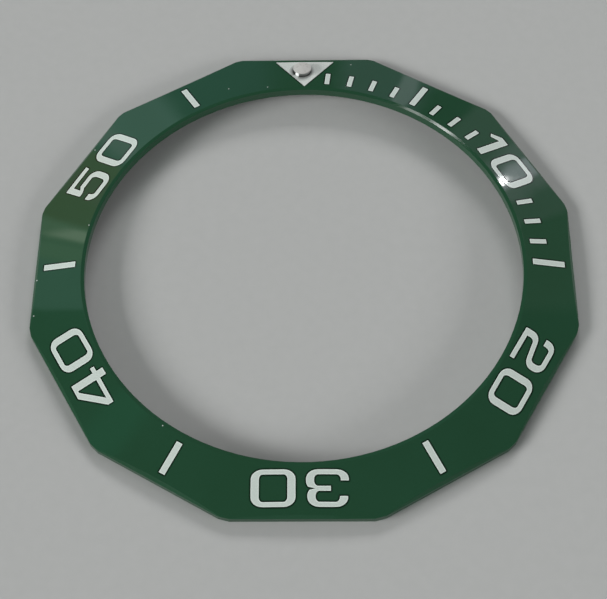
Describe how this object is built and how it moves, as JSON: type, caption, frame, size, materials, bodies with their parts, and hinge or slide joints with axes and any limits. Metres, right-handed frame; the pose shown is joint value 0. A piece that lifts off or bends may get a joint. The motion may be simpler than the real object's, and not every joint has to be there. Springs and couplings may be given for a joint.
{
  "type": "watch bezel insert",
  "caption": "Many-sided glossy ceramic insert for a dive watch bezel, with filled minute marks and numerals on a sloping face and a raised pearl in a triangle.",
  "frame": {"origin": "on the ring's axis, in the plane of the flat seat that it rests on", "axes": "+Z along the ring's axis, out of the marked face; +Y towards the triangle at 12 o'clock; +X towards the 15 minute bar"},
  "size_m": [0.0386, 0.0386, 0.0014],
  "materials": {
    "green_ceramic": "polished, dark green",
    "mark_filling": "satin, silvery white",
    "triangle_metal": "satin, silvery",
    "cup_metal": "polished steel",
    "pearl_lume": "matte, pale luminous filling",
    "milky_dome": "milky, glossy"
  },
  "bodies": {
    "root": {"insert_ring": "green_ceramic", "triangle_fill": "triangle_metal", "pearl_cup": "cup_metal", "pearl_lume": "pearl_lume", "pearl_dome": "milky_dome", "digit_1_of_10": "mark_filling", "digit_0_of_10": "mark_filling", "digit_2_of_20": "mark_filling", "digit_0_of_20": "mark_filling", "digit_3_of_30": "mark_filling", "digit_0_of_30": "mark_filling", "digit_4_of_40": "mark_filling", "digit_0_of_40": "mark_filling", "digit_5_of_50": "mark_filling", "digit_0_of_50": "mark_filling", "bar_05": "mark_filling", "bar_15": "mark_filling", "bar_25": "mark_filling", "bar_35": "mark_filling", "bar_45": "mark_filling", "bar_55": "mark_filling", "tick_01": "mark_filling", "tick_02": "mark_filling", "tick_03": "mark_filling", "tick_04": "mark_filling", "tick_06": "mark_filling", "tick_07": "mark_filling", "tick_08": "mark_filling", "tick_12": "mark_filling", "tick_13": "mark_filling", "tick_14": "mark_filling"}
  },
  "joints": []
}
